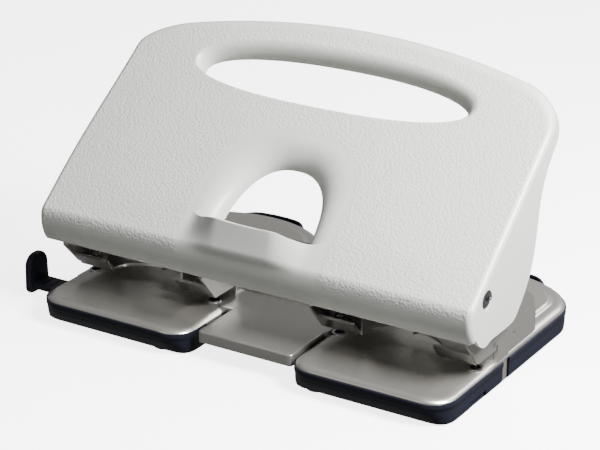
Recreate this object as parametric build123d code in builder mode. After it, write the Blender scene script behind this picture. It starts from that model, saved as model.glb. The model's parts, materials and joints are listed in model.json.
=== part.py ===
"""Four-hole punch: pressed base, two punch bridges, a leaning handle, a sliding
paper guide and two hinged chip trays.

Millimetres. X runs across the punch, Y towards its back, Z up. The origin lies on
the table, under the centre foot, midway between the arms of the handle. Paper enters from -Y.
"""
import os
from math import cos, pi, radians, sin

from build123d import *

os.makedirs("parts", exist_ok=True)

# ---- driving dimensions ----------------------------------------------------
hole_pitch = 80.0                 # standard 80-80-80 pattern
hole_edge = 12.0                  # hole centre to paper edge
hole_radius = 2.75
stop_y = -12.5                    # paper stops here
pin_y = stop_y - hole_edge
pin_xs = [hole_pitch * k for k in (-1.5, -0.5, 0.5, 1.5)]
unit_x = hole_pitch               # middle of each two-hole unit

base_half = 127.5
base_front = -71.0
base_waist = 62.0                 # the wings' rear noses start here
base_rear = 96.0
wing_inner = {-1: 29.0, 1: 35.0}  # the left wing reaches further in
strip_front = -62.5
strip_ends = (-24.5, 33.6)
strip_low = 9.0                   # lower edge of the centre strip
sheet = 1.5
plate_top = 15.5
rim_z = 12.7
paper_gap = 5.1
die_depth = 2.6
die_radius = 4.2
guide_z = plate_top + paper_gap   # underside of the lower guide plate
upper_z = 36.5                    # underside of the upper guide plate

pivot_y, pivot_z = -36.5, 59.5
swing = radians(32)               # handle travel
cam_arm = 13.5                    # pivot to the line where the cam presses
cam_gap = 0.08
travel = cam_arm * swing          # punch stroke
head_top = 51.0                   # top of the crosshead at rest
head_under = 46.0
cam_y = pivot_y + cam_arm
eye_radius = 5.9                  # eyes round the pivot, inside the leaning face

handle_half = 131.2
wall = 3.0
lean = radians(39.7)              # front face above the horizontal
face_y, face_z = -24.5, 81.6      # a point of the front face, midway across

ear_in, ear_out = 124.4, 126.4    # side bracket, inner and outer face
arm_in, arm_out = 121.8, 124.1    # lever arm
cheek_in = handle_half - wall

tray_bottom = 0.6
tray_top = 12.4
hinge_x = {-1: 26.2, 1: 32.2}
hinge_z = 3.0
rod_radius = 1.25
rail_y = (-48.0, -34.0)
rail_z = (5.6, 8.2)
rail_out, rail_end = -148.0, 8.0  # rail from the end stop to its inner end
run_fit = 0.05                    # radial clearance of a running fit
seat = 0.02                       # radial clearance of a seated piece

sides = ((-1, "left"), (1, "right"))
face_plane = Plane((0, face_y, face_z), x_dir=(1, 0, 0), z_dir=(0, -sin(lean), cos(lean)))


def save(piece, name):
    """Label a finished piece and write its STEP file."""
    piece.part.label = name
    export_step(piece.part, f"parts/{name}.step")


def on_face(s, n):
    """(y, z) of the point s up the front face and n out of it."""
    return (face_y + s * cos(lean) - n * sin(lean), face_z + s * sin(lean) + n * cos(lean))


def cross_plane(x):
    """Plane at x whose sketch axes are Y and Z."""
    return Plane((x, 0, 0), x_dir=(0, 1, 0), z_dir=(1, 0, 0))


def box(x0, x1, y0, y1, z0, z1, mode=Mode.ADD):
    """Box between two corners, given in any order along X."""
    with BuildSketch(Plane.XY.offset(z0)) as section:
        with Locations(((x0 + x1) / 2, (y0 + y1) / 2)):
            Rectangle(abs(x1 - x0), y1 - y0)
    extrude(section.sketch, amount=z1 - z0, mode=mode)


def slab(x0, x1, points, mode=Mode.ADD):
    """Prism between x0 and x1 over a polygon of (y, z) points."""
    with BuildSketch(cross_plane(min(x0, x1))) as section:
        Polygon(*points, align=None)
    extrude(section.sketch, amount=abs(x1 - x0), mode=mode)


def rod_x(x0, x1, y, z, radius, mode=Mode.ADD):
    """Round bar along X."""
    with BuildSketch(cross_plane(min(x0, x1))) as section:
        with Locations((y, z)):
            Circle(radius)
    extrude(section.sketch, amount=abs(x1 - x0), mode=mode)


def rod_y(y0, y1, x, z, radius, mode=Mode.ADD):
    """Round bar along Y."""
    with BuildSketch(Plane((0, y0, 0), x_dir=(1, 0, 0), z_dir=(0, 1, 0))) as section:
        with Locations((x, -z)):
            Circle(radius)
    extrude(section.sketch, amount=y1 - y0, mode=mode)


def rod_z(x, y, z0, z1, radius, mode=Mode.ADD):
    """Round bar along Z."""
    with BuildSketch(Plane.XY.offset(z0)) as section:
        with Locations((x, y)):
            Circle(radius)
    extrude(section.sketch, amount=z1 - z0, mode=mode)


def wing(side, z, grow=0.0, bulge=0.0):
    """Plan outline of one wing at height z, grown by a margin. Its rear nose follows a half
    ellipse in three arcs, and bulge swells the middle one."""
    near, far = wing_inner[side], base_half
    middle, half = side * (near + far) / 2, side * (far - near) / 2

    def nose(degrees, extra=0.0):
        rise = base_rear - base_waist + extra
        return (middle + half * cos(radians(degrees)), base_waist + rise * sin(radians(degrees)))

    with BuildSketch(Plane.XY.offset(z)) as outline:
        with BuildLine():
            Polyline(nose(180), (side * near, base_front), (side * far, base_front), nose(0))
            ThreePointArc(nose(0), nose(36), nose(72))
            ThreePointArc(nose(72), nose(90, bulge), nose(108))
            ThreePointArc(nose(108), nose(144), nose(180))
        make_face()
        front = vertices().group_by(Axis.Y)[0]
        fillet(front, radius=13.0)
        if grow:
            offset(amount=grow, kind=Kind.ARC, mode=Mode.REPLACE)
    return outline.sketch


# ---- base --------------------------------------------------------------------
with BuildPart() as base_plate:
    for side, _ in sides:
        extrude(wing(side, rim_z), amount=plate_top - rim_z)
    box(-wing_inner[-1] - 2, wing_inner[1] + 2, -30.0, 46.0, rim_z, plate_top)
    box(*strip_ends, strip_front, -28.0, strip_low, plate_top)
    for side, _ in sides:
        extrude(wing(side, rim_z, grow=-sheet), amount=plate_top - sheet - rim_z, mode=Mode.SUBTRACT)
    box(-wing_inner[-1] - 2, wing_inner[1] + 2, -28.5, 44.5, rim_z, plate_top - sheet, Mode.SUBTRACT)
    box(strip_ends[0] + sheet, strip_ends[1] - sheet, strip_front + sheet, -28.0, strip_low,
        plate_top - sheet, Mode.SUBTRACT)
    for x in pin_xs:
        rod_z(x, pin_y, rim_z, plate_top, die_radius, Mode.SUBTRACT)
    for side, _ in sides:
        box(side * 124.0, side * base_half, -13.0, 0.8, rim_z, plate_top, Mode.SUBTRACT)
save(base_plate, "base_plate")

with BuildPart() as punch_dies:
    for x in pin_xs:
        rod_z(x, pin_y, plate_top - die_depth, plate_top, die_radius - seat)
        rod_z(x, pin_y, plate_top - die_depth, plate_top, hole_radius + 0.1, Mode.SUBTRACT)
save(punch_dies, "punch_dies")

with BuildPart() as cross_rail:
    box(-33.0, 33.0, -4.0, 8.0, plate_top, plate_top + sheet)
save(cross_rail, "cross_rail")

with BuildPart() as centre_post:
    rod_z(0, 0, 2.0, plate_top - sheet, 7.0)
save(centre_post, "centre_post")

with BuildPart() as centre_foot:
    rod_z(0, 0, 0.0, 2.0, 9.0)
    fillet(centre_foot.edges().group_by(Axis.Z)[-1], radius=0.6)
save(centre_foot, "centre_foot")

ear_outline = [
    (-33.0, 22.2), (-45.5, 36.0), (-46.0, 48.0), (-42.2, 60.5), (-34.5, 64.6), (-22.0, 60.5),
    (0.0, 50.0), (17.0, 45.0), (28.5, 36.5), (32.0, 27.0), (32.0, plate_top),
    (0.6, plate_top), (0.6, 12.6), (-0.8, 11.8), (-0.8, 0.9), (-6.2, 0.9), (-6.2, 11.8),
    (-12.2, 12.9), (-12.2, 24.0), (-13.2, 24.8), (-14.2, 24.0), (-14.2, 22.2),
]
for side, hand in sides:
    with BuildPart() as side_bracket:
        slab(side * ear_in, side * ear_out, ear_outline)
        rod_x(side * ear_in, side * ear_out, pivot_y, pivot_z, eye_radius)
        rod_x(side * ear_in, side * ear_out, pivot_y, pivot_z, 4.0, Mode.SUBTRACT)
        rod_x(side * ear_in, side * ear_out, 6.5, 24.0, 1.3, Mode.SUBTRACT)
        for y, z in ((-16.5, 31.0), (-16.5, 26.0)):
            rod_x(side * ear_in, side * ear_out, y, z, 1.5, Mode.SUBTRACT)
        box(side * 116.0, side * (ear_in + 0.5), 12.0, 30.0, plate_top, plate_top + 2.0)
    save(side_bracket, f"side_bracket_{hand}")

    with BuildPart() as pivot_bush:
        rod_x(side * ear_in, side * (ear_out + 0.1), pivot_y, pivot_z, 4.0 - seat)
        rod_x(side * (ear_out + seat), side * (ear_out + 1.4), pivot_y, pivot_z, 5.6)
        rod_x(side * ear_in, side * (ear_out + 1.4), pivot_y, pivot_z, 3.0 + run_fit, Mode.SUBTRACT)
    save(pivot_bush, f"pivot_bush_{hand}")

# ---- punch bridges -------------------------------------------------------------
bridge_in, bridge_out = 33.5, 124.2
lip_edges = ((102.5, bridge_out), (bridge_in, 56.3))
back_y = stop_y + sheet
for side, hand in sides:
    with BuildPart() as punch_bridge:
        box(side * bridge_in, side * bridge_out, -32.3, back_y, guide_z, guide_z + sheet)
        with BuildSketch(Plane.XY.offset(guide_z)):
            with Locations((side * unit_x, -32.3)):
                Ellipse(23.7, 18.3)
        extrude(amount=sheet, mode=Mode.SUBTRACT)
        with BuildSketch(Plane.XY.offset(guide_z)):
            with Locations((side * unit_x, -14.6)):
                RegularPolygon(radius=2.6, side_count=3, rotation=-90)
        extrude(amount=sheet)
        for x0, x1 in lip_edges:
            slab(side * x0, side * x1,
                 [(-32.3, guide_z), (-38.4, 28.4), (-37.2, 29.3), (-31.0, guide_z + sheet)])
        box(side * bridge_in, side * bridge_out, stop_y, back_y, plate_top, upper_z)
        box(side * bridge_in, side * bridge_out, back_y - 0.1, -4.5, plate_top, plate_top + sheet)
        slab(side * bridge_in, side * (bridge_in + sheet),
             [(-32.3, guide_z), (-45.6, upper_z), (back_y, upper_z), (back_y, plate_top),
              (stop_y, plate_top), (stop_y, guide_z)])
        box(side * (bridge_out - sheet), side * bridge_out, -20.0, back_y, guide_z, upper_z)
        box(side * 56.0, side * 57.5, -31.0, back_y, guide_z, upper_z)
        for x in pin_xs:
            rod_z(x, pin_y, guide_z, guide_z + sheet, hole_radius + 0.08, Mode.SUBTRACT)
        for y, z in ((-16.5, 31.0), (-16.5, 26.0)):
            rod_x(side * (bridge_out - sheet), side * bridge_out, y, z, 1.5, Mode.SUBTRACT)
        for x in (48.0, 80.0, 112.0):
            rod_z(side * x, -7.5, plate_top, plate_top + sheet, 1.6, Mode.SUBTRACT)
    save(punch_bridge, f"punch_bridge_{hand}")

    with BuildPart() as upper_guide:
        box(side * bridge_in, side * bridge_out, -32.0, back_y, upper_z, upper_z + sheet)
        for x in pin_xs:
            rod_z(x, pin_y, upper_z, upper_z + sheet, hole_radius + 0.08, Mode.SUBTRACT)
        for x in (60.0, 100.0):
            rod_z(side * x, pin_y, upper_z, upper_z + sheet, 6.0, Mode.SUBTRACT)
    save(upper_guide, f"upper_guide_{hand}")

    with BuildPart() as bridge_screws:
        for x in (48.0, 80.0, 112.0):
            rod_z(side * x, -7.5, plate_top + sheet, plate_top + sheet + 1.8, 3.0)
            rod_z(side * x, -7.5, plate_top, plate_top + sheet, 1.6 - seat)
        fillet(bridge_screws.edges().group_by(Axis.Z)[-1], radius=0.8)
    save(bridge_screws, f"bridge_screws_{hand}")

    with BuildPart() as bracket_rivets:
        for y, z in ((-16.5, 31.0), (-16.5, 26.0)):
            rod_x(side * (bridge_out - sheet), side * ear_out, y, z, 1.5 - seat)
    save(bracket_rivets, f"bracket_rivets_{hand}")

# ---- crosshead with the four punches ----------------------------------------------
pin_tip = guide_z + 0.3
clip_z = upper_z - 0.95
spring_top = clip_z - 0.85
with BuildPart() as crosshead:
    box(-121.4, 121.4, -29.5, -11.8, head_under, head_top)
    fillet(crosshead.edges().filter_by(Axis.Z), radius=3.0)
    for x in pin_xs:
        rod_z(x, pin_y, head_under, head_top, 2.0 + seat, Mode.SUBTRACT)
    for x in (-80.0, 0.0, 80.0):
        rod_z(x, (stop_y + pin_y) / 2, head_under, head_top, 5.0, Mode.SUBTRACT)
save(crosshead, "crosshead")

for number, x in enumerate(pin_xs, start=1):
    with BuildPart() as punch_pin:
        rod_z(x, pin_y, pin_tip, head_under, hole_radius)
        rod_z(x, pin_y, head_under, head_top, 2.0)
        with BuildSketch(Plane.XY.offset(clip_z)):
            with Locations((x, pin_y)):
                Circle(hole_radius)
                Circle(2.2, mode=Mode.SUBTRACT)
        extrude(amount=0.8, mode=Mode.SUBTRACT)
        rod_y(pin_y - 4, pin_y + 4, x, pin_tip - 2.6, 3.2, Mode.SUBTRACT)
    save(punch_pin, f"punch_pin_{number}")

    with BuildPart() as pin_clip:
        rod_z(x, pin_y, clip_z, clip_z + 0.8, 4.0)
        rod_z(x, pin_y, clip_z, clip_z + 0.8, 2.2 + seat, Mode.SUBTRACT)
        box(x - 1.5, x + 1.5, pin_y - 5.0, pin_y - 1.0, clip_z, clip_z + 0.8, Mode.SUBTRACT)
    save(pin_clip, f"pin_clip_{number}")

    with BuildPart() as spring_washer:
        rod_z(x, pin_y, spring_top, clip_z - 0.05, 4.0)
        rod_z(x, pin_y, spring_top, clip_z - 0.05, hole_radius + 0.05, Mode.SUBTRACT)
    save(spring_washer, f"spring_washer_{number}")

    with BuildPart() as pin_spring:
        rod_z(x, pin_y, guide_z + sheet + 0.05, spring_top - 0.05, 3.95)
        rod_z(x, pin_y, guide_z + sheet + 0.05, spring_top - 0.05, 3.1, Mode.SUBTRACT)
    save(pin_spring, f"pin_spring_{number}")

# ---- handle -------------------------------------------------------------------------


def cam_point(angle):
    """(y, z) on the cam: the envelope of the crosshead's flat top as the lever turns."""
    drop = pivot_z - head_top - cam_gap + cam_arm * angle
    return (
        pivot_y + cam_arm * cos(angle) + drop * sin(angle),
        pivot_z + cam_arm * sin(angle) - drop * cos(angle),
    )


cam_curve = [cam_point(radians(a)) for a in (-8, 4, 16, 28, 36)]
bar_front = pivot_y + 7.5
bar_back = pivot_y + 21.0
bar_top = pivot_z - 0.5
head_z = 54.2                     # seat of the lever screws' heads
with BuildPart() as press_lever:
    with BuildSketch(cross_plane(-arm_out)) as bar_section:
        with BuildLine():
            curve = Spline(*cam_curve)
            Polyline(curve @ 1, (bar_back, bar_top - 1.5), (bar_back - 4, bar_top), (bar_front, bar_top),
                     (bar_front, cam_curve[0][1]), curve @ 0)
        make_face()
    extrude(amount=2 * arm_out)
    for side, _ in sides:
        rod_x(side * arm_in, side * arm_out, pivot_y, pivot_z, eye_radius)
        slab(side * arm_in, side * arm_out,
             [(pivot_y, pivot_z + eye_radius), (bar_front + 4, bar_top + 4), (bar_back - 2, bar_top - 1),
              (bar_front, cam_curve[0][1]), (pivot_y + 2, pivot_z - eye_radius)])
        rod_x(side * arm_in, side * arm_out, pivot_y, pivot_z, 2.5, Mode.SUBTRACT)
        rod_z(side * 60.0, cam_y, 50.0, head_z, 3.4, Mode.SUBTRACT)
        rod_z(side * 60.0, cam_y, 50.0, 60.0, 1.7, Mode.SUBTRACT)
save(press_lever, "press_lever")

for side, hand in sides:
    with BuildPart() as pivot_screw:
        rod_x(side * (cheek_in + 1.1), side * (cheek_in + 2.6), pivot_y, pivot_z, 4.6)
        fillet(pivot_screw.edges().filter_by(GeomType.CIRCLE).sort_by(Axis.X)[-1 if side > 0 else 0],
               radius=0.7)
        rod_x(side * arm_out, side * (cheek_in + 1.2), pivot_y, pivot_z, 3.0)
        rod_x(side * arm_in, side * arm_out, pivot_y, pivot_z, 2.5 - seat)
        for turn in (0, 90):
            with BuildSketch(cross_plane(side * (cheek_in + 2.6))):
                with Locations(Location((pivot_y, pivot_z), turn + 20)):
                    Rectangle(5.6, 1.1)
            extrude(amount=-side * 1.0, mode=Mode.SUBTRACT)
    save(pivot_screw, f"pivot_screw_{hand}")

with BuildPart() as lever_screws:
    for side, _ in sides:
        rod_z(side * 60.0, cam_y, head_z - 1.8, head_z, 3.2)
        rod_z(side * 60.0, cam_y, head_z, 68.0, 1.7 - seat)
save(lever_screws, "lever_screws")


def silhouette(grow=0.0):
    """Front view of the handle on the face plane: leaning sides and an arched top."""
    low, mid, corner, crest = -80.0, 20.0, 96.0, 113.5
    top_half = 127.0
    with BuildSketch(face_plane) as outline:
        with BuildLine():
            Polyline((top_half, corner), (handle_half, mid), (handle_half, low), (-handle_half, low),
                     (-handle_half, mid), (-top_half, corner))
            ThreePointArc((-top_half, corner), (0, crest), (top_half, corner))
        make_face()
        fillet(vertices().group_by(Axis.Y)[-1], radius=16.0)
        if grow:
            offset(amount=grow, kind=Kind.ARC, mode=Mode.REPLACE)
    return outline.sketch


def lens(n, half, low, high, grow=0.0):
    """Hand-slot outline at height n on the face: two long bows joined by round ends."""
    a, b = half + grow, (low + high) / 2 - 2.0
    with BuildSketch(face_plane.offset(n)) as outline:
        with BuildLine():
            ThreePointArc((8 - a, b - 8), (0, low - grow), (a - 8, b - 8))
            ThreePointArc((a - 8, b - 8), (a, b), (a - 8, b + 8))
            ThreePointArc((a - 8, b + 8), (0, high + grow), (8 - a, b + 8))
            ThreePointArc((8 - a, b + 8), (-a, b), (8 - a, b - 8))
        make_face()
    return outline.sketch


def arch(n, half, low, spring_line, high, grow=0.0):
    """Scoop outline at height n on the face: a flat sill under a round arch."""
    a = half + grow
    with BuildSketch(face_plane.offset(n)) as outline:
        with BuildLine():
            Line((-a, low - grow), (a, low - grow))
            Line((a, low - grow), (a, spring_line))
            ThreePointArc((a, spring_line), (0, high + grow), (-a, spring_line))
            Line((-a, spring_line), (-a, low - grow))
        make_face()
    return outline.sketch


slot_depth = 10.0
scoop_depth = 9.0
lip_half = 37.0
post_low = bar_top + 0.1          # two posts stand on the lever bar
lip_top = (-49.3, 74.6)
with BuildPart() as slot_void:
    loft([lens(0.5, 88, 57.5, 98), lens(-slot_depth - 0.5, 80, 59, 89)])
with BuildPart() as slot_rim:
    loft([lens(-0.5, 88, 57.5, 98, wall), lens(-slot_depth, 80, 59, 89, wall)])
with BuildPart() as scoop_void:
    loft([arch(0.5, 41, -20, 0, 39.5), arch(-scoop_depth - 0.5, 30, -16, -4, 23.5)])
with BuildPart() as scoop_rim:
    loft([arch(-0.5, 41, -20, 0, 39.5, wall), arch(-scoop_depth, 30, -16, -4, 23.5, wall)])

with BuildPart() as handle_shell:
    with BuildSketch(cross_plane(-handle_half)):
        with BuildLine():
            roll = ThreePointArc((-50.0, 40.0), (-53.2, 48.5), on_face(-35.0, 0))
            front = Line(roll @ 1, on_face(120.0, 0))
            Polyline(front @ 1, on_face(120.0, -slot_depth), on_face(80.0, -slot_depth))
            rear = ThreePointArc(on_face(80.0, -slot_depth), (26.0, 90.0), (16.0, 58.0))
            heel = ThreePointArc(rear @ 1, (6.0, 44.0), (-12.0, 35.6))
            Polyline(heel @ 1, (-43.0, 35.6), (-50.0, 40.0))
        make_face()
    extrude(amount=2 * handle_half)
    extrude(silhouette(), amount=120.0, both=True, mode=Mode.INTERSECT)
    with BuildPart(mode=Mode.PRIVATE) as hollow:
        with BuildSketch(cross_plane(-cheek_in)):
            with BuildLine():
                inner_roll = ThreePointArc((-47.0, 38.0), (-50.1, 48.5), on_face(-34.0, -wall))
                Polyline(inner_roll @ 1, on_face(120.0, -wall), (110.0, 150.0), (110.0, 10.0),
                         (-47.0, 10.0), inner_roll @ 0)
            make_face()
        extrude(amount=2 * cheek_in)
        extrude(silhouette(-wall), amount=150.0, both=True, mode=Mode.INTERSECT)
    add(hollow.part, mode=Mode.SUBTRACT)
    add(slot_rim.part)
    add(scoop_rim.part)
    slab(-lip_half, lip_half, [(-52.9, 50.0), lip_top, (-46.2, 74.2), (-49.6, 56.0), (-50.4, 50.0)])
    for side, _ in sides:
        slab(side * lip_half, side * (lip_half - wall),
             [(-52.7, 52.0), lip_top, (-38.0, 70.0), (-49.0, 58.5)])
        slab(side * 58.5, side * 61.5, [(cam_y - 5, post_low), (cam_y + 5, post_low), (cam_y + 5, 85.0),
                                        (cam_y - 5, 76.5)])
        rod_z(side * 60.0, cam_y, post_low, 76.0, 3.6)
        rod_z(side * 60.0, cam_y, post_low, 70.0, 1.7, Mode.SUBTRACT)
        rod_x(side * cheek_in, side * (cheek_in - 0.3), pivot_y, pivot_z, 8.0)
        rod_x(side * (cheek_in + 1.1), side * handle_half, pivot_y, pivot_z, 5.1, Mode.SUBTRACT)
        rod_x(side * (cheek_in - 0.3), side * handle_half, pivot_y, pivot_z, 3.0 + seat, Mode.SUBTRACT)
    add(slot_void.part, mode=Mode.SUBTRACT)
    add(scoop_void.part, mode=Mode.SUBTRACT)
save(handle_shell, "handle_shell")

# ---- paper guide ------------------------------------------------------------------------
rail_mid = sum(rail_y) / 2
groove_pitch = 5.0
with BuildPart() as guide_rail:
    box(rail_out, rail_end, *rail_y, *rail_z)
    for k in range(1, 30):
        x = rail_out + groove_pitch * k
        box(x, x + 1.0, rail_y[0] + 2, rail_y[1] - 2, rail_z[1] - 0.4, rail_z[1], Mode.SUBTRACT)
save(guide_rail, "guide_rail")

with BuildPart() as guide_stop:
    with BuildSketch(cross_plane(rail_out - 4.0)):
        with BuildLine():
            Line((rail_mid - 9.0, 5.0), (rail_mid - 8.0, 15.0))
            dome = ThreePointArc((rail_mid - 8.0, 15.0), (rail_mid, 25.0), (rail_mid + 8.0, 15.0))
            Line(dome @ 1, (rail_mid + 9.0, 5.0))
            ThreePointArc((rail_mid + 9.0, 5.0), (rail_mid, 1.8), (rail_mid - 9.0, 5.0))
        make_face()
    extrude(amount=4.0)
    chamfer(guide_stop.faces().sort_by(Axis.X)[0].edges(), length=0.8)
save(guide_stop, "guide_stop")

track_x = (-124.0, -48.0)
with BuildPart() as guide_track:
    box(*track_x, rail_y[0] - 1.6, rail_y[1] + 1.6, rail_z[0] - 1.5, plate_top - sheet)
    box(*track_x, rail_y[0] - 0.3, rail_y[1] + 0.3, rail_z[0] - 0.3, rail_z[1] + 0.3, Mode.SUBTRACT)
    box(-100.0, -80.0, rail_mid - 3.5, rail_mid + 3.5, rail_z[1], 11.8, Mode.SUBTRACT)
    for x in (-112.0, -60.0):
        rod_z(x, rail_mid, rail_z[1], plate_top - sheet, 1.5, Mode.SUBTRACT)
save(guide_track, "guide_track")

with BuildPart() as guide_detent:
    box(-99.5, -80.5, rail_mid - 3.0, rail_mid + 3.0, 11.4, 11.8)
    rod_y(rail_mid - 3.0, rail_mid + 3.0, -90.0, 10.1, 1.65)
save(guide_detent, "guide_detent")

with BuildPart() as track_screws:
    for x in (-112.0, -60.0):
        rod_z(x, rail_mid, 8.7, plate_top - sheet, 1.5 - seat)
save(track_screws, "track_screws")

# ---- chip trays --------------------------------------------------------------------------------
knuckles = ((-15.0, -5.0), (28.3, 39.7))
for side, hand in sides:
    axle_x = side * hinge_x[side]
    with BuildPart() as chip_tray:
        extrude(wing(side, tray_bottom, grow=0.7, bulge=7.0), amount=tray_top - tray_bottom)
        extrude(wing(side, tray_bottom + 1.8, grow=-1.4, bulge=7.0), amount=tray_top, mode=Mode.SUBTRACT)
        box(side * 120.0, side * 130.0, -7.5, 0.2, 0.0, tray_top, Mode.SUBTRACT)
        box(side * 120.0, side * 127.0, -9.2, 1.9, 0.0, tray_top, Mode.SUBTRACT)
        if side < 0:
            box(-130.0, -24.0, rail_y[0] - 2.5, rail_y[1] + 2.5, 3.6, tray_top, Mode.SUBTRACT)
        if side > 0:
            box(125.0, 130.0, -42.5, -25.5, 0.0, 5.0, Mode.SUBTRACT)
            box(120.0, 126.3, -44.0, -24.0, tray_bottom, 6.5)
        for y0, y1 in knuckles:
            rod_y(y0, y1, axle_x, hinge_z, 2.4)
            box(axle_x, side * (wing_inner[side] + 0.5), y0, y1, tray_bottom, hinge_z)
            rod_y(y0, y1, axle_x, hinge_z, rod_radius + run_fit, Mode.SUBTRACT)
    save(chip_tray, f"chip_tray_{hand}")

    with BuildPart() as foot_pads:
        for x, y in ((48, -60), (114, -58), (50, 78), (112, 74)):
            rod_z(side * x, y, 0.0, tray_bottom, 6.0)
    save(foot_pads, f"foot_pads_{hand}")

    with BuildPart() as tray_brackets:
        for y0, y1 in knuckles:
            for y in (y0 - 2.3, y1 + 0.3):
                rod_y(y, y + 2.0, axle_x, hinge_z, 1.9)
                box(axle_x - 1.9, axle_x + 1.9, y, y + 2.0, hinge_z, plate_top - sheet)
                rod_y(y, y + 2.0, axle_x, hinge_z, rod_radius + seat, Mode.SUBTRACT)
    save(tray_brackets, f"tray_brackets_{hand}")

    with BuildPart() as hinge_rod:
        rod_y(knuckles[0][0] - 2.3, knuckles[-1][1] + 2.3, axle_x, hinge_z, rod_radius)
    save(hinge_rod, f"hinge_rod_{hand}")
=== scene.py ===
import json
import math

import bmesh
import bpy
import numpy as np
from mathutils import Matrix, Vector


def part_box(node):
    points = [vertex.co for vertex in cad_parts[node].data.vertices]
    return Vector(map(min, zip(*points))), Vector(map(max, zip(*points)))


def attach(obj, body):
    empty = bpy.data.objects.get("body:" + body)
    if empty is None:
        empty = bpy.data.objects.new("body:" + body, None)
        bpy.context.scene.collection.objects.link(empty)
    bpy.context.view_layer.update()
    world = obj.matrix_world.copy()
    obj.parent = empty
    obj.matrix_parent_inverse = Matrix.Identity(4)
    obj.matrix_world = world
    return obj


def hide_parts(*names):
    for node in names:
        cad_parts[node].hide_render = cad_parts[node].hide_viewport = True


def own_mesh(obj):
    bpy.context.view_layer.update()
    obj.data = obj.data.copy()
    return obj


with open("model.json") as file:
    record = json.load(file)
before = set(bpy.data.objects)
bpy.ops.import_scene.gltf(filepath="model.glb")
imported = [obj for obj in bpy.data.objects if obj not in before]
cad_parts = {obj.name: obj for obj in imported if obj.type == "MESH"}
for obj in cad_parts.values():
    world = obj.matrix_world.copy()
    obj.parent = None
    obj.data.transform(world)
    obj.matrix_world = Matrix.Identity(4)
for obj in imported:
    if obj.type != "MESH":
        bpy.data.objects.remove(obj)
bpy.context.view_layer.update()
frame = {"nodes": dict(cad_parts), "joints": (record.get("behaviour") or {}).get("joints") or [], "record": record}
MM = 0.001
HANDS = ((-1, "left"), (1, "right"))


# ---- working out surfaces ------------------------------------------------------

def corners(node):
    """Lowest and highest corner of a CAD node, in millimetres."""
    low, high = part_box(node)
    return np.array(low) / MM, np.array(high) / MM


def ease(a, b, x):
    """Smooth step: 0 below a, 1 above b, 3q^2 - 2q^3 of the fraction q between them."""
    q = np.clip((x - a) / (b - a), 0.0, 1.0)
    return q * q * (3.0 - 2.0 * q)


def lattice(rows, cols, close_rows=False, close_cols=False, start=0):
    """Quads of a rows x cols grid; a closed direction joins its last line back to its first."""
    r = np.arange(rows if close_rows else rows - 1)
    c = np.arange(cols if close_cols else cols - 1)
    r, c = np.meshgrid(r, c, indexing="ij")
    r2, c2 = (r + 1) % rows, (c + 1) % cols
    quads = np.stack([r * cols + c, r * cols + c2, r2 * cols + c2, r2 * cols + c], axis=-1)
    return quads.reshape(-1, 4) + start


def clustered(a, b, count):
    """Points from a to b that crowd towards both ends, as the cosine of an even angle."""
    q = 0.5 - 0.5 * np.cos(np.pi * np.arange(count + 1) / count)
    return a + (b - a) * q


def bow(x, half, height, order):
    """Upper half of a superellipse: height times (1 - |x / half|^order)^(1 / order), 0 outside."""
    return height * np.clip(1.0 - np.abs(x / half) ** order, 0.0, 1.0) ** (1.0 / order)


def along(points, spacing, closed=False):
    """A polyline's points laid again at an even spacing along its length."""
    p = np.asarray(points, float)
    if closed:
        p = np.vstack([p, p[:1]])
    run = np.concatenate([[0.0], np.cumsum(np.linalg.norm(np.diff(p, axis=0), axis=1))])
    count = max(int(round(run[-1] / spacing)), 8)
    where = np.linspace(0.0, run[-1], count + 1)
    if closed:
        where = where[:-1]
    return np.stack([np.interp(where, run, p[:, k]) for k in range(p.shape[1])], axis=1)


def rounded(points, radii, steps=10):
    """A closed polygon with each corner cut to a circular arc of its radius."""
    p = np.asarray(points, float)
    before, after = np.roll(p, 1, axis=0), np.roll(p, -1, axis=0)
    a = (before - p) / np.linalg.norm(before - p, axis=1, keepdims=True)
    b = (after - p) / np.linalg.norm(after - p, axis=1, keepdims=True)
    half = 0.5 * np.arccos(np.clip((a * b).sum(1), -1.0, 1.0))
    r = np.asarray(radii, float)
    bisector = (a + b) / np.linalg.norm(a + b, axis=1, keepdims=True)
    centre = p + bisector * (r / np.sin(half))[:, None]
    first = p + a * (r / np.tan(half))[:, None] - centre
    last = p + b * (r / np.tan(half))[:, None] - centre
    start = np.arctan2(first[:, 1], first[:, 0])
    turn = np.arctan2(last[:, 1], last[:, 0]) - start
    turn = (turn + np.pi) % (2 * np.pi) - np.pi
    angle = start[:, None] + turn[:, None] * np.linspace(0.0, 1.0, steps + 1)
    arc = centre[:, None, :] + r[:, None, None] * np.stack([np.cos(angle), np.sin(angle)], axis=-1)
    return arc.reshape(-1, 2)


def outward(loop):
    """Unit vectors square to a counter-clockwise closed loop in the plane, pointing out."""
    d = np.roll(loop, -1, axis=0) - np.roll(loop, 1, axis=0)
    d /= np.linalg.norm(d, axis=1, keepdims=True)
    return np.stack([d[:, 1], -d[:, 0]], axis=1)


def pierce(points, quads, axes, centre, radius, where):
    """A round hole in a sheet: points near the circle move onto it, and quads inside it go.
    axes names the two coordinates the circle lies in, and where limits it to some points."""
    d = points[:, axes] - np.asarray(centre, float)
    r = np.linalg.norm(d, axis=1)
    near = where & (np.abs(r - radius) < 0.13 * radius)
    points[np.ix_(near, axes)] = np.asarray(centre) + d[near] * (radius / r[near])[:, None]
    mid = points[quads].mean(axis=1)
    gone = where[quads].all(axis=1) & (np.linalg.norm(mid[:, axes] - centre, axis=1) < radius)
    return points, quads[~gone]


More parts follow.
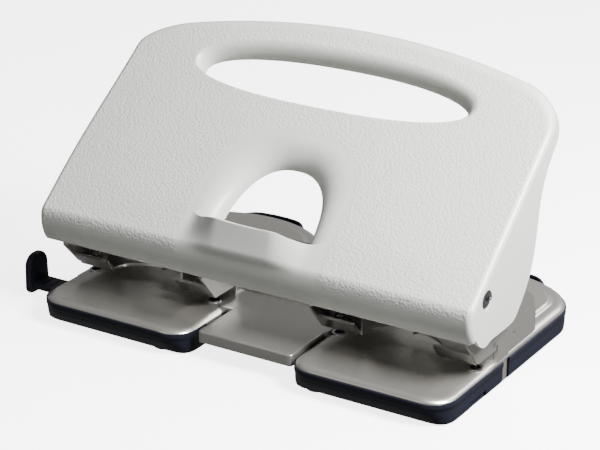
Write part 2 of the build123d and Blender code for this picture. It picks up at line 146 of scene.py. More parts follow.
def piece(name, points, quads, body, stands_for=(), finish=None, grain=None, facing=None,
          wall=None, bevel=None):
    """A mesh piece from points in millimetres: doubles merged, faces turned out, then its wall
    and bevel. facing is an inner point that the faces turn their backs on."""
    mesh = bpy.data.meshes.new(name)
    mesh.from_pydata((np.asarray(points) * MM).tolist(), [], np.asarray(quads).tolist())
    if grain is not None:
        layer = mesh.attributes.new("grain", "FLOAT", "POINT")
        layer.data.foreach_set("value", np.asarray(grain, np.float32))
    work = bmesh.new()
    work.from_mesh(mesh)
    bmesh.ops.remove_doubles(work, verts=work.verts, dist=2e-6)
    bmesh.ops.dissolve_degenerate(work, dist=1e-7, edges=work.edges)
    loose = [v for v in work.verts if not v.link_faces]
    bmesh.ops.delete(work, geom=loose, context="VERTS")
    bmesh.ops.recalc_face_normals(work, faces=work.faces)
    if facing is not None:
        inner = Vector(facing) * MM
        if sum(f.normal.dot(f.calc_center_median() - inner) * f.calc_area() for f in work.faces) < 0:
            bmesh.ops.reverse_faces(work, faces=work.faces)
    work.to_mesh(mesh)
    work.free()
    mesh.shade_smooth()
    o = bpy.data.objects.new(name, mesh)
    bpy.context.scene.collection.objects.link(o)
    if wall:
        thick = o.modifiers.new("wall", "SOLIDIFY")
        thick.thickness, thick.offset = wall * MM, -1.0
    if bevel:
        edge = o.modifiers.new("edges", "BEVEL")
        edge.width, edge.segments, edge.limit_method = bevel * MM, 3, "ANGLE"
        edge.angle_limit = math.radians(48)
    if finish:
        mesh.materials.append(FINISHES[finish])
    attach(o, body)
    if stands_for:
        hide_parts(*stands_for)
    return o


def turned(profile, centre, count):
    """A solid of revolution: (radius, y) profile points carried round a line along Y."""
    profile = np.asarray(profile, float)
    angle = 2 * np.pi * np.arange(count) / count
    r, h = profile[:, 0][:, None], profile[:, 1][:, None]
    ring = [r * np.sin(angle), h + 0 * angle, r * np.cos(angle)]
    points = np.stack(ring, axis=-1).reshape(-1, 3) + np.asarray(centre, float)
    return points, lattice(len(profile), count, close_cols=True)


def joined(*parts):
    """Several (points, quads) surfaces as one."""
    points, quads, start = [], [], 0
    for p, q in parts:
        points.append(p)
        quads.append(q + start)
        start += len(p)
    return np.vstack(points), np.vstack(quads)


# ---- materials ---------------------------------------------------------------------

class Number:
    """A shader number. Arithmetic on it adds Math nodes."""

    def __init__(self, maker, socket):
        self.maker, self.socket = maker, socket

    def _with(self, operation, a, b):
        return self.maker.node("ShaderNodeMath", {"operation": operation}, {0: a, 1: b})[0]

    def __add__(self, other):
        return self._with("ADD", self, other)

    def __rsub__(self, other):
        return self._with("SUBTRACT", other, self)

    def __mul__(self, other):
        return self._with("MULTIPLY", self, other)

    __radd__, __rmul__ = __add__, __mul__


class Maker:
    """Builds one material's nodes."""

    def __init__(self, name):
        self.material = bpy.data.materials.new(name)
        self.material.use_nodes = True
        self.tree = self.material.node_tree
        self.shader = self.tree.nodes["Principled BSDF"]
        self.place = self.node("ShaderNodeTexCoord", {}, {})["Object"]

    def node(self, kind, settings, inputs):
        """Adds a node: settings first, then its sockets' values or links. Returns its outputs."""
        made = self.tree.nodes.new(kind)
        for key, value in settings.items():
            setattr(made, key, value)
        self.feed(made, inputs)
        return Outputs(self, made)

    def feed(self, made, inputs):
        """Gives each named socket a value, or a link from a Number."""
        for key, value in inputs.items():
            if isinstance(value, Number):
                self.tree.links.new(value.socket, made.inputs[key])
            else:
                made.inputs[key].default_value = value

    def noise(self, scale, detail=3.0, rough=0.5, place=None):
        """Fractal noise between 0 and 1; scale counts its lumps per metre."""
        return self.node("ShaderNodeTexNoise", {}, {
            "Vector": place or self.place, "Scale": scale, "Detail": detail, "Roughness": rough})[0]

    def stretched(self, factors):
        """The object's own coordinates, stretched along each axis."""
        return self.node("ShaderNodeMapping", {}, {"Vector": self.place, "Scale": factors})[0]

    def between(self, low, high, amount):
        """A colour from low to high as amount goes from 0 to 1."""
        mix = self.node("ShaderNodeMix", {"data_type": "RGBA"}, {"Factor": amount})
        made = mix.made
        pair = [s for s in made.inputs if s.type == "RGBA"]
        pair[0].default_value, pair[1].default_value = (*low, 1.0), (*high, 1.0)
        return Number(self, [s for s in made.outputs if s.type == "RGBA"][0])

    def bump(self, height, distance):
        """A bump whose full height is distance in metres."""
        return self.node("ShaderNodeBump", {}, {
            "Height": height, "Distance": distance, "Strength": 1.0})[0]

    def done(self, **sockets):
        """Sets the shader's own sockets and returns the material."""
        names = {key.replace("_", " ").title().replace("Ior", "IOR"): value
                 for key, value in sockets.items()}
        self.feed(self.shader, names)
        return self.material


class Outputs:
    """A node's output sockets, by name or number."""

    def __init__(self, maker, made):
        self.maker, self.made = maker, made

    def __getitem__(self, key):
        return Number(self.maker, self.made.outputs[key])


def handle_paint():
    """Stoved pale grey paint: pebbled where the mesh says so, smooth elsewhere."""
    m = Maker("pale_grey_stoved_paint")
    pebbled = m.node("ShaderNodeAttribute", {"attribute_name": "grain"}, {})["Fac"]
    cells = m.node("ShaderNodeTexVoronoi", {"feature": "SMOOTH_F1"}, {
        "Vector": m.place, "Scale": 760.0, "Smoothness": 0.7})[0]
    fine = m.noise(1500.0, 2.0)
    broad = m.noise(60.0, 3.0)
    height = (1.0 - cells) * pebbled + fine * 0.12
    colour = m.between((0.47, 0.48, 0.445), (0.53, 0.54, 0.505), broad * 0.5 + fine * 0.25)
    return m.done(base_color=colour, roughness=0.36 + pebbled * 0.06 + fine * 0.04,
                  coat_weight=0.25, coat_roughness=0.22, normal=m.bump(height, 0.00028))


def base_paint():
    """Warm silver lacquer with fine metal flake."""
    m = Maker("warm_silver_lacquer")
    flake = m.noise(2600.0, 1.0)
    broad = m.noise(25.0, 4.0)
    colour = m.between((0.44, 0.425, 0.39), (0.56, 0.54, 0.505), flake * 0.6 + broad * 0.4)
    return m.done(base_color=colour, metallic=0.88, roughness=0.26 + broad * 0.05,
                  coat_weight=0.3, coat_roughness=0.15, normal=m.bump(flake, 0.00001))


def steel(name, low, high, rough, stretch):
    """Drawn or ground steel: fine streaks along one direction."""
    m = Maker(name)
    streak = m.noise(260.0, 4.0, 0.6, m.stretched(stretch))
    blotch = m.noise(90.0, 3.0)
    colour = m.between(low, high, streak * 0.6 + blotch * 0.4)
    return m.done(base_color=colour, metallic=1.0, roughness=rough + streak * 0.14,
                  normal=m.bump(streak, 0.00002))


def dark_plastic():
    """Blue-black moulded plastic with a fine spark-eroded grain."""
    m = Maker("blue_black_moulding")
    grain = m.noise(1900.0, 3.0)
    broad = m.noise(45.0, 2.0)
    colour = m.between((0.005, 0.006, 0.011), (0.009, 0.010, 0.017), broad)
    return m.done(base_color=colour, roughness=0.34 + grain * 0.16,
                  specular_ior_level=0.22, normal=m.bump(grain, 0.00004))


def rubber():
    """Soft matt rubber."""
    m = Maker("soft_black_rubber")
    grain = m.noise(1300.0, 4.0)
    colour = m.between((0.015, 0.015, 0.016), (0.03, 0.03, 0.031), grain)
    return m.done(base_color=colour, roughness=0.72 + grain * 0.15, normal=m.bump(grain, 0.00008))


FINISHES = {
    "painted_handle": handle_paint(),
    "painted_base": base_paint(),
    "bright_steel": steel("bright_plated_sheet", (0.56, 0.56, 0.54), (0.62, 0.61, 0.59), 0.24, (0.3, 1, 1)),
    "hard_steel": steel("ground_tool_steel", (0.42, 0.42, 0.43), (0.60, 0.60, 0.60), 0.18, (1, 1, 0.2)),
    "zinc_steel": steel("zinc_plated_steel", (0.50, 0.51, 0.53), (0.66, 0.67, 0.68), 0.26, (1, 1, 1)),
    "chrome_screw": steel("polished_chrome", (0.34, 0.34, 0.35), (0.44, 0.44, 0.45), 0.08, (1, 1, 1)),
    "bronze_bush": steel("sintered_bronze", (0.40, 0.27, 0.13), (0.52, 0.36, 0.18), 0.35, (1, 1, 1)),
    "dark_plastic": dark_plastic(),
    "rubber": rubber(),
}
for entry in frame["record"]["subparts"]:
    cad = frame["nodes"][entry["node"]]
    cad.data.materials.clear()
    cad.data.materials.append(FINISHES[entry["material_slot"]])


# ---- handle ----------------------------------------------------------------------------
shell_low, shell_high = corners("handle_shell")
HALF = shell_high[0]
HEEL_Z = shell_low[2]
pivot = np.array(frame["joints"][0]["pos_m"]) / MM
LEAN = math.radians(39.7)
UP = np.array([math.cos(LEAN), math.sin(LEAN)])
OUT = np.array([-math.sin(LEAN), math.cos(LEAN)])
FACE = pivot[1:] + np.array([12.0, 22.1])
FACE_END = -34.3
ROLL = 21.5
LEFT_FLARE = 0.04
# the scoop: half widths of its crease and its mouth, and the mouth's ends up the face
CREASE, MOUTH = 41.0, 27.5
MOUTH_LOW, MOUTH_RISE = -24, 47.0
SILL_END, SILL_BOW = -15, 9.0
# the hand slot: its half width, its middle up the face, and its reach below and above that
SLOT, SLOT_MIDDLE = 88, 77
SLOT_BELOW, SLOT_ABOVE = 19.2, 21.0
SIDE_ROUND, TOP_ROUND = 3.2, 9.0
HOOD_WALL = 2.5


def front_line(t):
    """(y, z) and outward normal of the hood's front section at t up the face. Above FACE_END it
    is a straight line, and below it a cubic curve of length ROLL turns down and back in."""
    q = np.clip((FACE_END - t) / ROLL, 0.0, 1.0)[..., None]
    start = FACE + UP * FACE_END
    p1, p2, end = start - UP * 4.0, FACE + np.array([-29.9, -35.1]), FACE + np.array([-25.4, -41.6])
    curve = (1 - q) ** 3 * start + 3 * q * (1 - q) ** 2 * p1 + 3 * q * q * (1 - q) * p2 + q ** 3 * end
    slope = 3 * (1 - q) ** 2 * (p1 - start) + 6 * q * (1 - q) * (p2 - p1) + 3 * q * q * (end - p2)
    slope /= -np.linalg.norm(slope, axis=-1, keepdims=True)
    normal = np.stack([-slope[..., 1], slope[..., 0]], axis=-1)
    line = FACE + UP * np.maximum(t, FACE_END)[..., None]
    on_face = (t >= FACE_END)[..., None]
    return np.where(on_face, line, curve), np.where(on_face, OUT, normal)


def crown(u, t):
    """Height of the softly crowned face over its plane: a parabola across, fading at the rims."""
    return 2.2 * (1 - (u / HALF) ** 2) * ease(-45, -10, t) * (1 - ease(75, 112, t))


def scoop_dip(u, t):
    """The arch over the scoop rolls in as a quarter ellipse from its crease to its mouth."""
    crease = (np.abs(u / CREASE) ** 2.6 + np.abs(np.maximum(t, 0) / 39) ** 2.6) ** (1 / 2.6)
    climb = (np.maximum(t, MOUTH_LOW) - MOUTH_LOW) / MOUTH_RISE
    mouth = (np.abs(u / MOUTH) ** 2.4 + np.abs(climb) ** 2.4) ** (1 / 2.4)
    a, b = np.maximum(1 - crease, 0), np.maximum(mouth - 1, 0)
    x = 0.985 * a / (a + b + 1e-9)
    return -12.0 * (1 - np.sqrt(1 - x * x))


def sill_rise(u, t):
    """The panel under the scoop rises straight out of the face and tapers away at its sides."""
    rise = (t + 40.1) * 0.62
    rise = 0.5 * (rise + np.sqrt(rise * rise + 2.0)) * (1 - 0.20 * (u / CREASE) ** 2)
    fade = np.where(u < 0, ease(19.0, CREASE, -u), ease(12.0, 34.0, u))
    return np.minimum(rise, 11.0) * (1 - fade) * ease(-50, -42, t)


def on_hood(u, t, n):
    """Points of the hood's front: u across, t up the front section, n out of it. The left half
    widens towards the heel in proportion to u."""
    place, normal = front_line(t)
    u = u + np.minimum(u, 0.0) * LEFT_FLARE * (1 - ease(-10, 95, t))
    place = place + normal * n[..., None]
    return np.stack([u, place[..., 0], place[..., 1]], axis=-1)


def depth_at(t):
    """How far the cheek reaches behind the face: a logistic fall from the heel to the grip,
    cut off below by the level heel."""
    back = 9.6 + 39.0 / (1 + np.exp((t - 32.0) / 11.0))
    level = (FACE[1] + UP[1] * t - HEEL_Z) / OUT[1]
    return back - np.log1p(np.exp((back - level) / 1.5)) * 1.5


def hood_surface():
    """Face, rolled rims and cheeks as one sheet. The face is a grid whose columns part round the
    scoop's mouth and the hand slot, each a superellipse. Its border carries a quarter-round and
    then a straight flange to the cheek's rear edge; the slot's rim carries a quarter-ellipse."""
    edge = HALF - SIDE_ROUND
    half = np.concatenate([MOUTH * np.sin(np.linspace(0, np.pi / 2, 24)), clustered(MOUTH, CREASE, 12)[1:],
                           clustered(CREASE, SLOT, 32)[1:], clustered(SLOT, edge, 24)[1:]])
    u = np.concatenate([-half[:0:-1], half])
    mouth_low = SILL_END - bow(u, CREASE, SILL_BOW, 2.2)
    tucked = SILL_END - bow(np.abs(u) - MOUTH, CREASE - MOUTH, SILL_BOW, 2.0)
    mouth_high = np.where(np.abs(u) < MOUTH, MOUTH_LOW + bow(u, MOUTH, MOUTH_RISE, 2.4), tucked)
    split = SLOT_MIDDLE - 22 * ease(SLOT, edge, np.abs(u))
    slot_low = split - bow(u, SLOT, SLOT_BELOW, 2.4)
    slot_high = split + bow(u, SLOT, SLOT_ABOVE, 2.2)
    shoulder = np.clip((np.abs(u) - 104) / (edge - 104), 0, 1)
    top = 106.0 - 0.00127 * u * u - np.where(u < 0, 8.5, 16.0) * (1 - np.sqrt(1 - shoulder ** 2))
    floor = np.full_like(u, FACE_END - ROLL)
    spans = ((floor, mouth_low, 40), (mouth_high, slot_low, 52), (slot_high, top, 22))
    points, quads, grain, start = [], [], [], 0
    border, rims = {}, {}
    for k, (low, high, count) in enumerate(spans):
        q = np.linspace(0, 1, count + 1)[:, None]
        t = low + (high - low) * q
        uu = u + 0 * t
        n = crown(uu, t) + (sill_rise, scoop_dip, scoop_dip)[k](uu, t)
        grid = on_hood(uu, t, n)
        points.append(grid.reshape(-1, 3))
        quads.append(lattice(count + 1, len(u), start=start))
        start += (count + 1) * len(u)
        crease = (np.abs(uu / 43) ** 2.6 + np.abs(np.maximum(t, 0) / 41) ** 2.6) ** (1 / 2.6)
        grain.append((ease(0.97, 1.05, crease) * ease(-46, -40, t)).reshape(-1))
        border[k] = (uu, t, n)
    # the border: up the left side, over the top, down the right side
    side = [np.concatenate([border[0][j][:, 0], border[1][j][1:, 0], border[2][j][1:, 0]]) for j in range(3)]
    over = [border[2][j][-1, 1:-1] for j in range(3)]
    mirror = [np.concatenate([border[0][j][:, -1], border[1][j][1:, -1], border[2][j][1:, -1]])[::-1]
              for j in range(3)]
    path_u, path_t, path_n = [np.concatenate(z) for z in zip(side, over, mirror)]
    du, dt = np.gradient(path_u), np.gradient(path_t)
    length = np.hypot(du, dt)
    ou, ot = -dt / length, du / length
    radius = SIDE_ROUND + (TOP_ROUND - SIDE_ROUND) * np.maximum(ot, 0) ** 2
    angle = np.linspace(0, np.pi / 2, 10)[1:]
    sin, cos = np.sin(angle), np.cos(angle)
    ring_u = path_u[:, None] + (ou * radius)[:, None] * sin
    ring_t = path_t[:, None] + (ot * radius)[:, None] * sin
    ring_n = path_n[:, None] - radius[:, None] * (1 - cos)
    roll = on_hood(ring_u, ring_t, ring_n)
    outer_t = path_t + ot * radius
    place, normal = front_line(outer_t)
    back = place - normal * depth_at(outer_t)[:, None]
    q = np.clip((FACE_END - outer_t) / ROLL, 0, 1)
    heel = np.stack([-30.9 - 13.0 * q, HEEL_Z + 2.2 * q ** 3 - 1.6 * np.sin(np.pi * q)], axis=1)
    back = np.where((outer_t < FACE_END)[:, None], heel, back)
    w = np.linspace(0, 1, 40)[1:]
    first = roll[:, -1, :]
    flange = first[:, None, 1:] * (1 - w)[:, None] + back[:, None, :] * w[:, None]
    flange = np.concatenate([np.broadcast_to(first[:, None, :1], flange.shape[:2] + (1,)), flange], axis=-1)
    start_edge = on_hood(path_u, path_t, path_n)[:, None, :]
    skirt = np.concatenate([start_edge, roll, flange], axis=1)
    points.append(skirt.reshape(-1, 3))
    quads.append(lattice(skirt.shape[0], skirt.shape[1], start=start))
    start += skirt.shape[0] * skirt.shape[1]
    fade = np.concatenate([[1.0], 1 - ease(0.0, 0.35, sin), np.zeros(len(w))])
    base_grain = ease(-46, -40, path_t)
    grain.append((base_grain[:, None] * fade).reshape(-1))
    # the slot's rim rolls in
    inside = np.abs(u) <= SLOT + 1e-9
    su = np.concatenate([u[inside], u[inside][-2:0:-1]])
    st = np.concatenate([slot_high[inside], slot_low[inside][-2:0:-1]])
    sn = crown(su, st)
    iu = su * np.where(su < 0, 84.5, 80.0) / SLOT
    share = np.where(st >= SLOT_MIDDLE, 17.0 / SLOT_ABOVE, 14.6 / SLOT_BELOW)
    it = SLOT_MIDDLE - 3.5 + (st - SLOT_MIDDLE) * share
    blend = np.linspace(0, np.pi / 2, 12)
    ru = su[:, None] + (iu - su)[:, None] * np.sin(blend)
    rt = st[:, None] + (it - st)[:, None] * np.sin(blend)
    rn = sn[:, None] - 10.5 * (1 - np.cos(blend))
    rim = on_hood(ru, rt, rn)
    points.append(rim.reshape(-1, 3))
    quads.append(lattice(rim.shape[0], rim.shape[1], close_rows=True, start=start))
    grain.append((1 - ease(0.0, 0.4, np.sin(blend)) + 0 * ru).reshape(-1))
    points, quads, grain = np.vstack(points), np.vstack(quads), np.concatenate(grain)
    for side, _ in HANDS:
        on_cheek = points[:, 0] * side > HALF - 0.2
        points, quads = pierce(points, quads, [1, 2], pivot[1:], 5.3, on_cheek)
    return points, quads, grain


hood_points, hood_quads, hood_grain = hood_surface()
hood = piece("handle_hood", hood_points, hood_quads, "handle", ["handle_shell"], "painted_handle",
             grain=hood_grain, facing=(0.0, -5.0, 60.0), wall=HOOD_WALL, bevel=1.0)


# ---- base --------------------------------------------------------------------------------
plate_low, plate_high = corners("base_plate")
TOP = plate_high[2]
WING_INNER = {-1: 29.0, 1: 35.0}
UNIT, UNIT_MIDDLE = 80.0, 12.0      # X and Y of the middle of a wing
RIM = 2.4                           # how far a wing's rounded rim drops
SHEET = 1.4


def wing_outline(side, grow=0.0, nose=0.0):
    """Plan of one wing as a closed loop: straight flanks, round front corners, and a rear nose
    that is half an ellipse; grow moves it outwards and nose lengthens the nose's middle."""
    inner, outer = WING_INNER[side], plate_high[0]
    front, waist, tail = plate_low[1], 62.0, plate_high[1]
    middle, half = (inner + outer) / 2, (outer - inner) / 2
    angle = np.linspace(0, np.pi, 61)
    c, s = np.cos(angle), np.sin(angle)
    rear = np.stack([middle + half * c, waist + (tail - waist) * s + nose * ease(0.86, 0.97, s)], axis=1)
    body = rounded([(inner, front), (outer - 1.2, front), (outer, waist), (inner, waist)],
                   [14.0, 15.0, 1.0, 1.0])
    half_count = len(body) // 2
    loop = np.vstack([body[:half_count], rear])
    loop = along(loop, 1.4, closed=True)
    loop = loop + outward(loop) * grow
    if side < 0:
        loop = np.stack([-loop[:, 0], loop[:, 1]], axis=1)[::-1]
    return loop


def wing_skin(side):
    """A wing's pressed skin: rings shrink from the outline to the middle, and the height falls
    to the rim as a quarter ellipse. Two creases bound the front, where the flanks fall away as a
    softplus of the distance outside them, and a plateau steps up behind, inside the rear rim."""
    loop = wing_outline(side)
    centre = np.array([side * UNIT, UNIT_MIDDLE])
    skirt = np.linspace(0, 1, 5)[:-1]
    roll = np.linspace(0, np.pi / 2, 12)
    inset = np.concatenate([0 * skirt, 5.0 * (1 - np.cos(roll))])
    bottom = plate_low[2] + 3.9
    height = np.concatenate([bottom + (TOP - RIM - bottom) * skirt, TOP - RIM + RIM * np.sin(roll)])
    rings = loop[None] - outward(loop)[None] * inset[:, None, None]
    last = rings[-1]
    share = np.linspace(1, 0, 64)[1:]
    inner = centre + (last - centre)[None] * share[:, None, None]
    plan = np.concatenate([rings, inner])
    z = np.concatenate([height, np.full(len(share), TOP)])[:, None] + 0 * plan[..., 0]
    x, y = np.abs(plan[..., 0]), plan[..., 1]
    gap = np.stack([np.linalg.norm(ring[:, None] - loop[None], axis=-1).min(axis=1) for ring in plan])
    outside = np.logaddexp(0.0, 2.0 * (np.abs(x - UNIT + 0.5) - 34.0)) / 2.0
    z = z - 0.085 * outside * (1 - ease(-26, -16, y))
    z = z + 1.5 * ease(7.0, 9.6, gap) * ease(36, 48, y)
    points = np.concatenate([plan, z[..., None]], axis=-1).reshape(-1, 3)
    quads = lattice(plan.shape[0], plan.shape[1], close_cols=True)
    low, high = corners("punch_dies")
    radius = (high[1] - low[1]) / 2
    for hole in (side * UNIT / 2, side * UNIT * 1.5):
        points, quads = pierce(points, quads, [0, 1], [hole, low[1] + radius], radius + 0.05,
                               points[:, 2] > TOP - 1.6)
    return points, quads


def slab_surface(x0, x1, y0, y1, z0, z1, corner, edge):
    """A rounded plate: its plan loop rises, turns in over a quarter round, and closes on top."""
    loop = along(rounded([(x0, y0), (x1, y0), (x1, y1), (x0, y1)], [corner] * 4), 1.6, closed=True)
    roll = np.linspace(0, np.pi / 2, 8)
    inset = np.concatenate([[0.0], edge * (1 - np.cos(roll))])
    height = np.concatenate([[z0], z1 - edge + edge * np.sin(roll)])
    rings = loop[None] - outward(loop)[None] * inset[:, None, None]
    centre = np.array([(x0 + x1) / 2, (y0 + y1) / 2])
    share = np.linspace(1, 0, 14)[1:]
    inner = centre + (rings[-1] - centre)[None] * share[:, None, None]
    plan = np.concatenate([rings, inner])
    z = np.concatenate([height, np.full(len(share), z1)])[:, None] + 0 * plan[..., 0]
    return (np.concatenate([plan, z[..., None]], axis=-1).reshape(-1, 3),
            lattice(plan.shape[0], plan.shape[1], close_cols=True))


for side, hand in HANDS:
    piece(f"base_wing_{hand}", *wing_skin(side), "base", ["base_plate"], "painted_base",
          facing=(side * UNIT, UNIT_MIDDLE, 0.0), wall=SHEET, bevel=0.3)
strip = slab_surface(-24.5, 33.6, plate_low[1] + 8.0, -20.0, plate_low[2], TOP, 1.6, 0.9)
saddle = slab_surface(-34.5, 35.3, -30.0, 46.0, TOP - 3.2, TOP - 0.03, 3.0, 0.5)
for name, surface, inner_y in (("base_strip", strip, -40), ("base_saddle", saddle, 8)):
    piece(name, *surface, "base", ["base_plate"], "painted_base", facing=(0, inner_y, 0),
          wall=SHEET, bevel=0.3)


# ---- chip trays ----------------------------------------------------------------------------
def tray_skin(side):
    """A chip tray: its wall section, an upright rim, a step and a foot, is carried round the plan,
    the front leans back towards its foot, and rings close the floor. Gaps are left for the
    bracket's foot and for the rail."""
    low, high = corners("chip_tray_right")
    loop = wing_outline(side, grow=0.7, nose=7.0)
    centre = np.array([side * UNIT, UNIT_MIDDLE])
    inset = np.array([0.0, 0.0, 0.0, 0.35, 0.4, 0.4, 0.4, 0.5, 0.7, 1.4])
    height = np.array([high[2] + 0.3, 11.0, 9.9, 9.5, 8.0, 6.2, 4.4, 2.6, 1.2, low[2]])
    rings = loop[None] - outward(loop)[None] * inset[:, None, None]
    facing_front = np.maximum(-outward(loop)[:, 1], 0.0)
    rings[..., 1] += 4.5 * facing_front ** 3 * (1 - ease(0.0, 9.4, height))[:, None]
    share = np.linspace(1, 0, 26)[1:] ** 0.9
    inner = centre + (rings[-1] - centre)[None] * share[:, None, None]
    plan = np.concatenate([rings, inner])
    z = np.concatenate([height, np.full(len(share), low[2])])[:, None] + 0 * plan[..., 0]
    points = np.concatenate([plan, z[..., None]], axis=-1).reshape(-1, 3)
    quads = lattice(plan.shape[0], plan.shape[1], close_cols=True)
    mid = points[quads].mean(axis=1)
    gap = (mid[:, 0] * side > 121.5) & (mid[:, 1] > -7.6) & (mid[:, 1] < 0.4)
    if side > 0:
        gap |= (mid[:, 0] > 126) & (mid[:, 1] > -42.5) & (mid[:, 1] < -25.5) & (mid[:, 2] < 4.0)
    else:
        rail, rail_high = corners("guide_rail")
        wall = np.abs(mid[:, 0] + UNIT) > 44.0
        gap |= (wall & (mid[:, 1] > rail[1] - 1.0) & (mid[:, 1] < rail_high[1] + 1.0)
                & (mid[:, 2] > rail[2] - 1.6))
    return points, quads[~gap]


for side, hand in HANDS:
    piece(f"tray_shell_{hand}", *tray_skin(side), f"tray_{hand}", [f"chip_tray_{hand}"], "dark_plastic",
          facing=(side * UNIT, UNIT_MIDDLE, 8.0), wall=SHEET, bevel=0.25)
    rod_low, rod_high = corners(f"hinge_rod_{hand}")
    rod = (rod_low + rod_high) / 2
    barrels = []
    for y0, y1 in ((-15.0, -5.0), (28.3, 39.7)):
        tube = [(1.35, y0), (2.0, y0), (2.4, y0 + 0.4), (2.4, y1 - 0.4), (2.0, y1), (1.35, y1), (1.35, y0)]
        barrels.append(turned(tube, (rod[0], 0, rod[2]), 28))
        barrels.append(slab_surface(*sorted((rod[0] + side * 1.7, rod[0] + side * 4.6)), y0 + 0.2, y1 - 0.2,
                                    0.7, 2.9, 0.3, 0.3))
    piece(f"tray_knuckles_{hand}", *joined(*barrels), f"tray_{hand}", [f"chip_tray_{hand}"], "dark_plastic")


# ---- springs ----------------------------------------------------------------------------------
def coil(centre, low, high, radius, wire, turns):
    """A compression spring: a circle of wire carried along a helix whose pitch closes up at both
    ends, and its ends drawn to a point."""
    q = np.linspace(0, 1, int(turns * 26) + 1)
    climb = q - 0.5 * np.sin(2 * np.pi * q) / (2 * np.pi)
    angle = 2 * np.pi * turns * q
    z = low + wire + (high - low - 2 * wire) * climb
    line = np.stack([radius * np.cos(angle), radius * np.sin(angle), z], axis=1)
    tangent = np.gradient(line, axis=0)
    tangent /= np.linalg.norm(tangent, axis=1, keepdims=True)
    out = np.stack([np.cos(angle), np.sin(angle), 0 * angle], axis=1)
    up = np.cross(tangent, out)
    phi = 2 * np.pi * np.arange(10) / 10
    size = wire * np.minimum(1, np.minimum(q, 1 - q) * 200)[:, None, None]
    section = out[:, None] * np.cos(phi)[:, None] + up[:, None] * np.sin(phi)[:, None]
    points = (line[:, None] + size * section).reshape(-1, 3) + np.array([centre[0], centre[1], 0])
    return points, lattice(len(q), 10, close_cols=True)


for number in range(1, 5):
    low, high = corners(f"pin_spring_{number}")
    centre = (low + high) / 2
    spring = piece(f"spring_coil_{number}", *coil(centre, low[2], high[2], 3.5, 0.4, 5.0), "base",
                   [f"pin_spring_{number}"], "hard_steel", facing=tuple(centre))
    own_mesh(spring)


# ---- paper guide -------------------------------------------------------------------------------
def stop_surface():
    """The guide's end stop: its plan is an upright rounded outline, domed on top, and its faces
    are closed over a quarter-round edge."""
    low, high = corners("guide_stop")
    mid, half = (low[1] + high[1]) / 2, (high[1] - low[1]) / 2
    outline = rounded([(mid - half, low[2] + 0.2), (mid + half, low[2] + 0.2),
                       (mid + half - 1.0, high[2]), (mid - half + 1.0, high[2])], [3.5, 3.5, 7.2, 7.2])
    loop = along(outline, 0.8, closed=True)
    roll = np.linspace(0, np.pi / 2, 6)
    edge = 1.3
    inset = np.concatenate([edge * (1 - np.sin(roll)), edge * (1 - np.cos(roll))])
    depth = np.concatenate([high[0] - edge * (1 - np.cos(roll)), low[0] + edge * (1 - np.sin(roll))])
    rings = loop[None] - outward(loop)[None] * inset[:, None, None]
    centre = loop.mean(axis=0)
    ends = [centre + (rings[k] - centre)[None] * np.linspace(1, 0, 8)[1:, None, None] for k in (0, -1)]
    plan = np.concatenate([ends[0][::-1], rings, ends[1]])
    x = np.concatenate([np.full(7, depth[0]), depth, np.full(7, depth[-1])])[:, None] + 0 * plan[..., 0]
    points = np.concatenate([x[..., None], plan], axis=-1).reshape(-1, 3)
    return points, lattice(plan.shape[0], plan.shape[1], close_cols=True)


low, high = corners("guide_stop")
piece("guide_end_stop", *stop_surface(), "paper_guide", ["guide_stop"], "dark_plastic",
      facing=tuple((low + high) / 2))


# ---- light, floor and camera ----------------------------------------------------------------------
HEADING, DIP = math.radians(31.76), math.radians(22.09)


def sweep_surface():
    """A floor that turns up into a wall behind: a line, a quarter circle and a line, drawn wide."""
    arc = np.linspace(0, np.pi / 2, 24)
    y = np.concatenate([[-3.0], 2.2 + 1.2 * np.sin(arc), [3.4]])
    z = np.concatenate([[0.0], 1.2 * (1 - np.cos(arc)), [4.5]])
    x = np.linspace(-5, 5, 9)
    points = np.stack([x + 0 * y[:, None], y[:, None] + 0 * x, z[:, None] + 0 * x], axis=-1)
    return points.reshape(-1, 3), lattice(len(y), len(x))


def pale_ground():
    """Matt white ground with a breath of unevenness."""
    m = Maker("pale_ground")
    soft = m.noise(3.0, 2.0)
    return m.done(base_color=m.between((0.80, 0.80, 0.80), (0.84, 0.84, 0.84), soft), roughness=0.6,
                  emission_color=(1.0, 1.0, 1.0, 1.0), emission_strength=4.0)


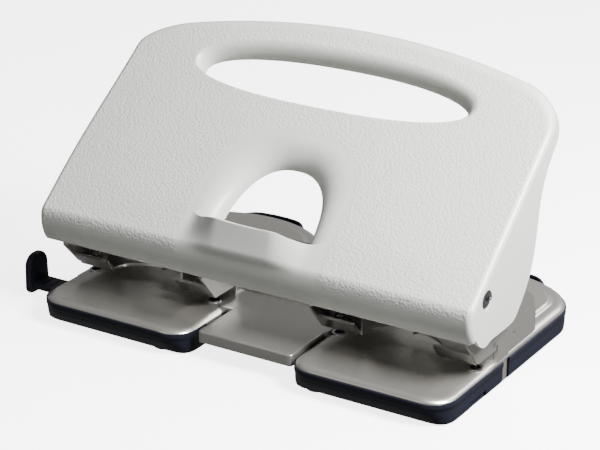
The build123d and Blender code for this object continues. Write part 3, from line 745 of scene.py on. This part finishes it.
points, quads = sweep_surface()
turn = Matrix.Rotation(HEADING, 3, "Z")
ground_mesh = bpy.data.meshes.new("studio_ground")
ground_mesh.from_pydata((points @ np.array(turn).T).tolist(), [], quads.tolist())
ground_mesh.shade_smooth()
ground_mesh.materials.append(pale_ground())
ground = bpy.data.objects.new("studio_ground", ground_mesh)
bpy.context.scene.collection.objects.link(ground)
ground.visible_diffuse = False      # the bright ground shows, but lights nothing
ground.visible_glossy = False

world = bpy.data.worlds.new("studio")
bpy.context.scene.world = world
world.use_nodes = True
world.node_tree.nodes["Background"].inputs["Color"].default_value = (1.0, 1.0, 1.0, 1.0)
world.node_tree.nodes["Background"].inputs["Strength"].default_value = 0.24


def softbox(name, place, aim, size, power):
    """A square area light at place, turned towards aim."""
    lamp = bpy.data.lights.new(name, "AREA")
    lamp.shape, lamp.size, lamp.energy = "SQUARE", size, power
    o = bpy.data.objects.new(name, lamp)
    o.location = place
    o.rotation_euler = (Vector(aim) - Vector(place)).to_track_quat("-Z", "Y").to_euler()
    bpy.context.scene.collection.objects.link(o)


softbox("key", (0.53, -0.03, 0.57), (0.03, 0.0, 0.07), 0.30, 30.0)
softbox("front", (-0.3, -1.4, 0.6), (0.0, 0.0, 0.05), 0.9, 2.0)
softbox("rim", (0.3, 0.9, 1.0), (0.0, 0.0, 0.1), 0.7, 14.0)

ahead = Vector((-math.sin(HEADING) * math.cos(DIP), math.cos(HEADING) * math.cos(DIP), -math.sin(DIP)))
across = Vector((math.cos(HEADING), math.sin(HEADING), 0.0))
above = across.cross(ahead)
eye = bpy.data.cameras.new("camera")
eye.sensor_width, eye.lens = 36.0, 121.06
camera = bpy.data.objects.new("camera", eye)
place = across * 0.00014 + above * 0.05477 - ahead * 1.1085
camera.matrix_world = Matrix((
    (across.x, above.x, -ahead.x, place.x),
    (across.y, above.y, -ahead.y, place.y),
    (across.z, above.z, -ahead.z, place.z),
    (0.0, 0.0, 0.0, 1.0)))
bpy.context.scene.collection.objects.link(camera)
bpy.context.scene.camera = camera
